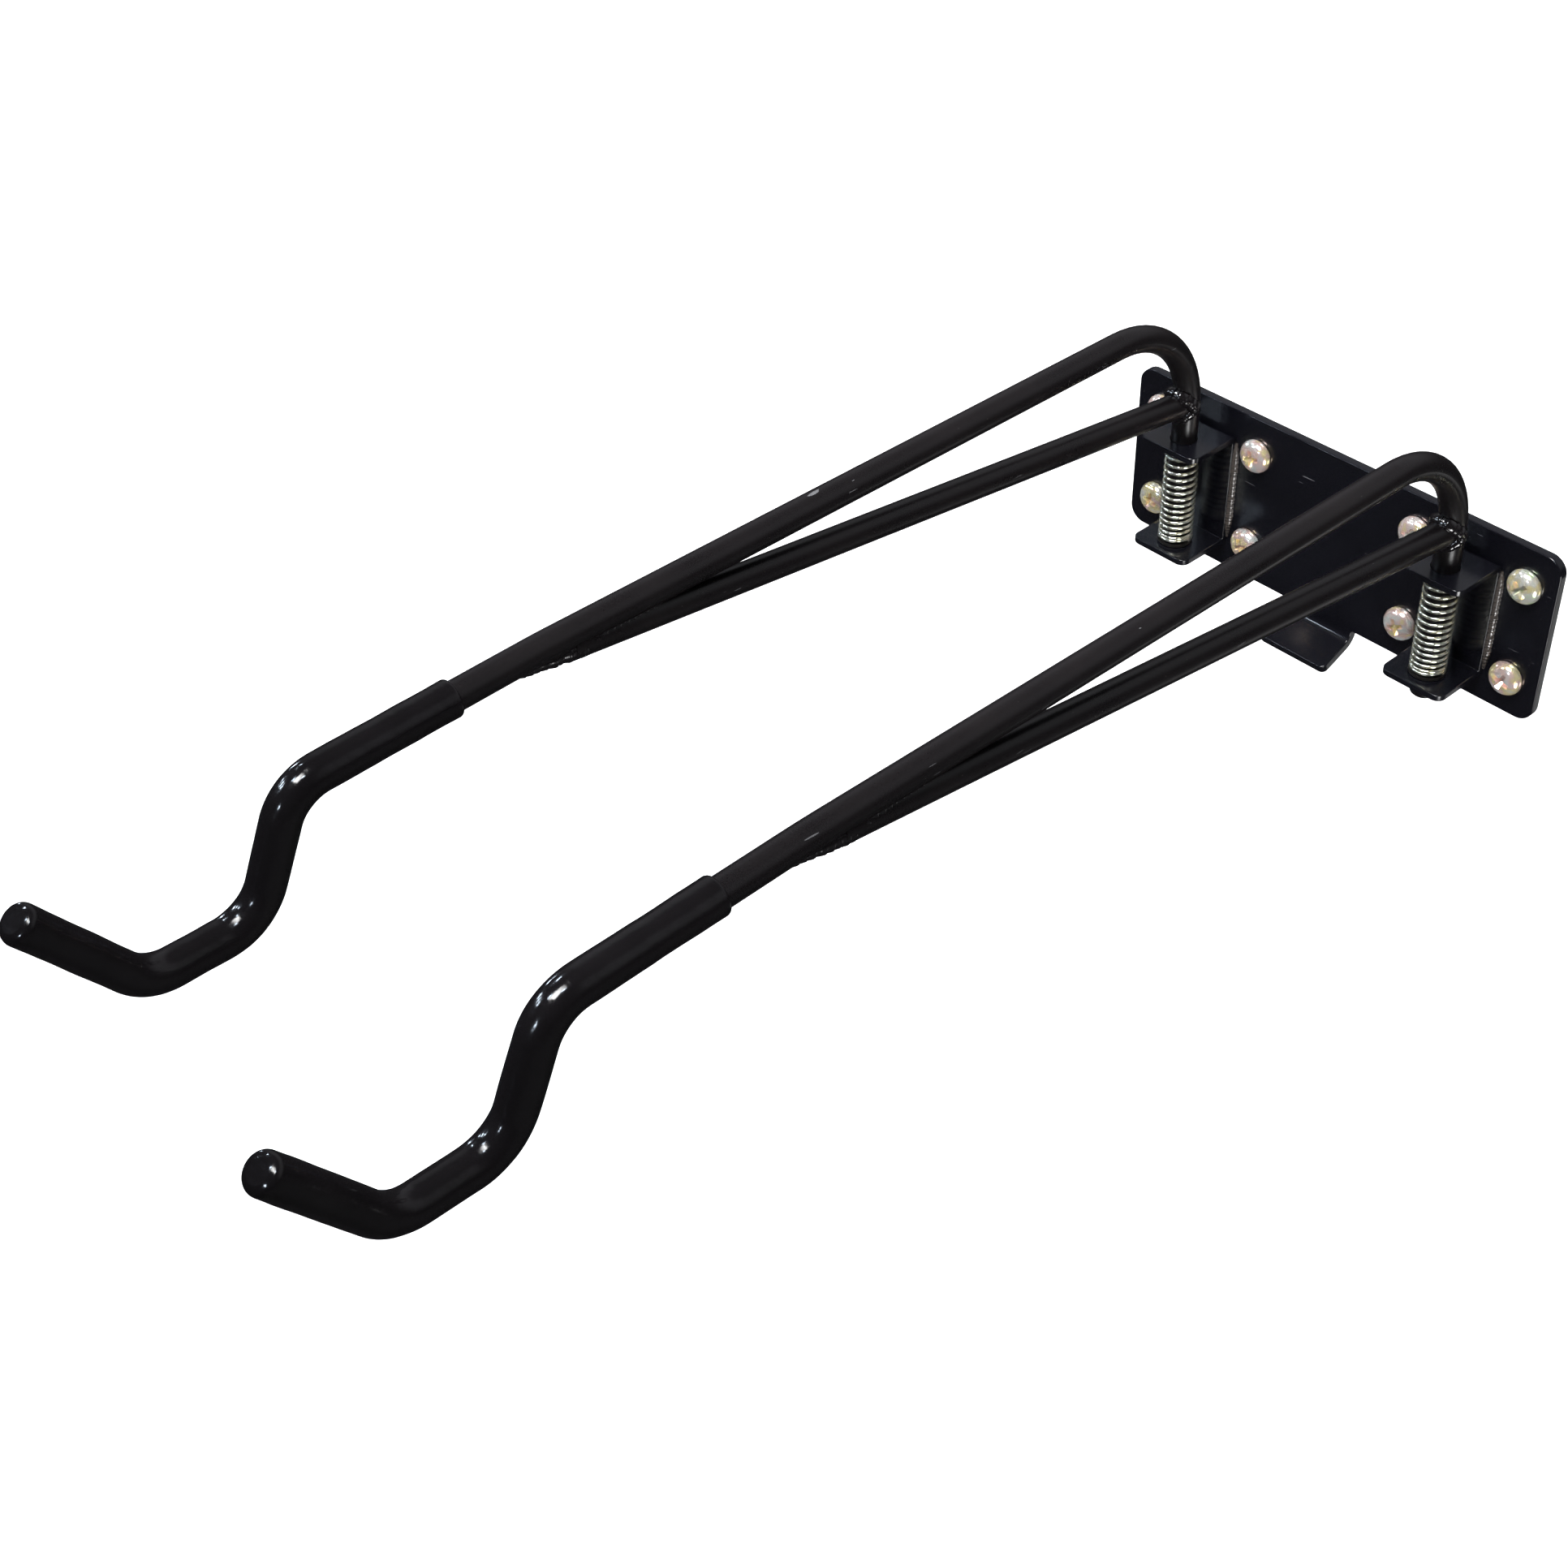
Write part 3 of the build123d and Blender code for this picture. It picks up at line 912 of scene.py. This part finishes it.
tip_drop = arc_drop(whole - done, sleeve_shape.size("Tip round"))
lip_drop = arc_drop(done, sleeve_shape.size("Lip round"))
near_lip = (1 - done / LIP_LENGTH).at_least(0)
spot = sleeve_shape.node("GeometryNodeInputPosition")
wander = clouds(sleeve_shape, spot, WANDER_SIZE, 1.0)
radius = sleeve_shape.size("Radius") + (wander - 0.5) * sleeve_shape.size("Unevenness")
radius = radius + near_lip * sleeve_shape.size("Lip swell") - tip_drop - lip_drop
tube = sleeve_shape.swept(sleeve_shape.evened(bent), sleeve_shape.circle(44), radius)
sleeve_shape.end(tube)

# %% Pull the sleeves on
HOOK_OUT, SEAT_Z, SEAT_TIP_OUT = 471 * MM, 45.5 * MM, 537 * MM
HOOK_ANGLE, TIP_ANGLE, TIP_LENGTH = radians(65.4), radians(54.3), 63.5 * MM
BENDS = (0.0, 21 * MM, 23 * MM, 21 * MM, 0.0)

for side in SIDES:
    low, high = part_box(f"{side}_hook_sleeve")
    start = pivot[side].y - high.y
    seat_rear = HOOK_OUT + (arm_height(HOOK_OUT) - SEAT_Z) / tan(HOOK_ANGLE)
    tip = (SEAT_TIP_OUT + TIP_LENGTH * cos(TIP_ANGLE), SEAT_Z + TIP_LENGTH * sin(TIP_ANGLE))
    line = [(start, arm_height(start)), (HOOK_OUT, arm_height(HOOK_OUT))]
    line += [(seat_rear, SEAT_Z), (SEAT_TIP_OUT, SEAT_Z), tip]
    sleeve = sleeve_shape.make(
        f"{side}_vinyl_sleeve",
        path_mesh("sleeve_line", [place_on(side, out, z) for out, z in line], bend=BENDS),
        Radius=(high.x - low.x) / 2,
        Tip_round=3.2 * MM,
        Lip_round=1.5 * MM,
        Lip_swell=0.15 * MM,
        Unevenness=0.5 * MM,
        Step=0.6 * MM,
        Finish=sleeve_vinyl,
    )
    put(sleeve, f"{side}_arm", "vinyl", f"{side}_hook_sleeve")

# %% [markdown]
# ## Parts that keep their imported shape
# The arm bars, the braces and the retaining rings are already what they should be: round bar bent to
# the drawing's line, and a plain stamped ring. They only change their finish.

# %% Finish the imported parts
COATS = {"arm_rod": bar_coat, "brace_rod": bar_coat, "retaining_ring": ring_dark_steel}

for side in SIDES:
    for node, coat in COATS.items():
        mesh = nodes[f"{side}_{node}"].data
        mesh.materials.clear()
        mesh.materials.append(coat)

# %% [markdown]
# ## Studio
# Black paint is lit by what it mirrors, so the room matters more than the lamps. The bars lie along
# Y, and seen from the camera they mirror only what is behind the wall plane: a pale backdrop there,
# between a dim floor and a dim ceiling, draws one soft band along each bar. The plate mirrors the
# dark lower half of the room in front, so it stays black. A few small lamps in front give the hard
# spots on the glossy sleeves and welds, and narrow panels reach the springs, screws and web beads.
# Only the camera sees the room as pale, which keeps the background plain from every side.

# %% Floor, room and lights
FLOOR_Z, FLOOR_HALF = -1.2, 12
PALE = (0.93, 0.93, 0.93, 1)
floor_mesh = bpy.data.meshes.new("floor")
turns_round = ((-1, -1), (1, -1), (1, 1), (-1, 1))
corners = [(x * FLOOR_HALF, y * FLOOR_HALF, FLOOR_Z) for x, y in turns_round]
floor_mesh.from_pydata(corners, [], [(0, 1, 2, 3)])
floor = add_object("floor", floor_mesh)
floor_paint, bench = start_finish("floor_paint")
matt = {"Base Color": PALE, "Roughness": 0.9, "Specular IOR Level": 0.0}
end_finish(bench, {}, {**matt, "Emission Color": (1, 1, 1, 1), "Emission Strength": 0.55})
floor_mesh.materials.append(floor_paint)
floor.visible_glossy = False
floor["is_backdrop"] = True

ROOM_SEEN = 0.9
room = bpy.data.worlds.new("dim_room")
room.use_nodes = True
room.node_tree.nodes.clear()
bench = Bench(room.node_tree)
direction = bench.node("ShaderNodeTexCoord", None, None, "Generated")
towards_x = bench.node("ShaderNodeSeparateXYZ", None, {"Vector": direction}, "X")
towards_y, towards_z = towards_x.other("Y"), towards_x.other("Z")


def rise(amount, start, end):
    """0 below start, 1 above end and a smooth step between."""
    values = {"Value": amount, "From Min": start, "From Max": end}
    return bench.node("ShaderNodeMapRange", {"interpolation_type": "SMOOTHSTEP"}, values, "Result")


low_band = rise(towards_z, 0.02, 0.42) * (1 - rise(towards_z, 0.62, 0.88))
backdrop = rise(towards_y, 0.0, 0.5) * low_band
right_floor = rise(towards_x, 0.3, 0.8) * rise(0 - towards_z, 0.05, 0.4)
glow = backdrop * 0.30 + right_floor * 0.06 + rise(towards_z, -0.2, 0.6) * 0.04 + 0.025
seen = bench.node("ShaderNodeLightPath", None, None, "Is Camera Ray")
glow = glow + seen * (ROOM_SEEN - glow)
room_light = {"Color": (0.93, 0.95, 1.0, 1), "Strength": glow}
light = bench.node("ShaderNodeBackground", None, room_light)
world_out = room.node_tree.nodes.new("ShaderNodeOutputWorld")
room.node_tree.links.new(light.socket, world_out.inputs["Surface"])
bpy.context.scene.world = room


def soft_light(name, place, aim, size, watts, mirrored=True, colour=(1, 1, 1), spread=pi):
    """A square softbox that faces a point. A small spread keeps its light to a narrow cone."""
    data = bpy.data.lights.new(name, "AREA")
    data.size = size
    data.energy = watts
    data.color = colour
    data.spread = spread
    lamp = bpy.data.objects.new(name, data)
    lamp.location = place
    lamp.rotation_mode = "QUATERNION"
    lamp.rotation_quaternion = (Vector(aim) - Vector(place)).to_track_quat("-Z", "Y")
    lamp.visible_glossy = mirrored
    bpy.context.scene.collection.objects.link(lamp)


def seen_from_rack(turn, height):
    """A place at a turn from straight out, to the right when positive, and a height angle."""
    flat = cos(radians(height)) * LAMP_DISTANCE
    level = sin(radians(height)) * LAMP_DISTANCE
    return (sin(radians(turn)) * flat, -cos(radians(turn)) * flat, level)


LAMP_DISTANCE = 1.9
RACK_MIDDLE = (0.0, -0.25, 0.04)
PLATE_MIDDLE = (0.0, -0.02, 0.0)
COOL = (0.74, 0.86, 1.0)
LAMPS = ((-56, 24), (-46, 29), (-35, 33), (-14, 53), (30, 60), (-80, 14), (-68, 44), (8, 22))
soft_light("floor_wash", (-1.6, 1.6, 4.2), (-1.6, 1.6, FLOOR_Z), 7.0, 620, mirrored=False)
for number, (turn, height) in enumerate(LAMPS):
    soft_light(f"lamp_{number}", seen_from_rack(turn, height), RACK_MIDDLE, 0.12, 3.0, colour=COOL)
soft_light("low_panel", seen_from_rack(148, -38), RACK_MIDDLE, 0.6, 0.7)
soft_light("spring_panel", (0.72, -0.36, -0.36), PLATE_MIDDLE, 0.30, 0.30, spread=radians(44))
soft_light("sky_panel", (0.1, -0.75, 1.3), PLATE_MIDDLE, 0.5, 3.0, spread=radians(50))
print(len(LAMPS), "small lamps and", len(bpy.data.lights) - len(LAMPS), "panels")

# %% [markdown]
# ## Camera
# The camera stands in front of the rack to its right and looks down on it. Its tilt and turn are
# built from three directions: where it looks, its right and its down.

# %% Camera
TURN, DOWN, ROLL = radians(49.300), radians(39.929), radians(2.061)
CAMERA_PLACE = (0.51957, -0.77986, 0.61215)
LENS = 55.20
ahead = Vector((-sin(TURN) * cos(DOWN), cos(TURN) * cos(DOWN), -sin(DOWN)))
right = Vector((cos(TURN), sin(TURN), 0))
below = ahead.cross(right)
rolled_right = cos(ROLL) * right + sin(ROLL) * below
rolled_below = cos(ROLL) * below - sin(ROLL) * right
camera_data = bpy.data.cameras.new("rack_camera")
camera_data.sensor_width = 36.0
camera_data.lens = LENS
camera_data.shift_x = -0.0002
camera_data.shift_y = 0.0086
camera_data.clip_start = 0.01
camera = bpy.data.objects.new("rack_camera", camera_data)
turn_matrix = Matrix((rolled_right, -rolled_below, -ahead)).transposed().to_4x4()
camera.matrix_world = Matrix.Translation(CAMERA_PLACE) @ turn_matrix
bpy.context.scene.collection.objects.link(camera)
bpy.context.scene.camera = camera
bpy.context.scene.view_settings.view_transform = "Standard"
print("camera at", CAMERA_PLACE, "with a", LENS, "mm lens")

# %% Measure the finished rack
made_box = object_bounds()
sizes = {"cad": [list(corner) for corner in cad_box], "visual": [list(corner) for corner in made_box]}
for label, drawn, made in zip(("low", "high"), cad_box, made_box):
    print(label, "corner grown by", [round(x / MM, 2) for x in made - drawn], "mm")
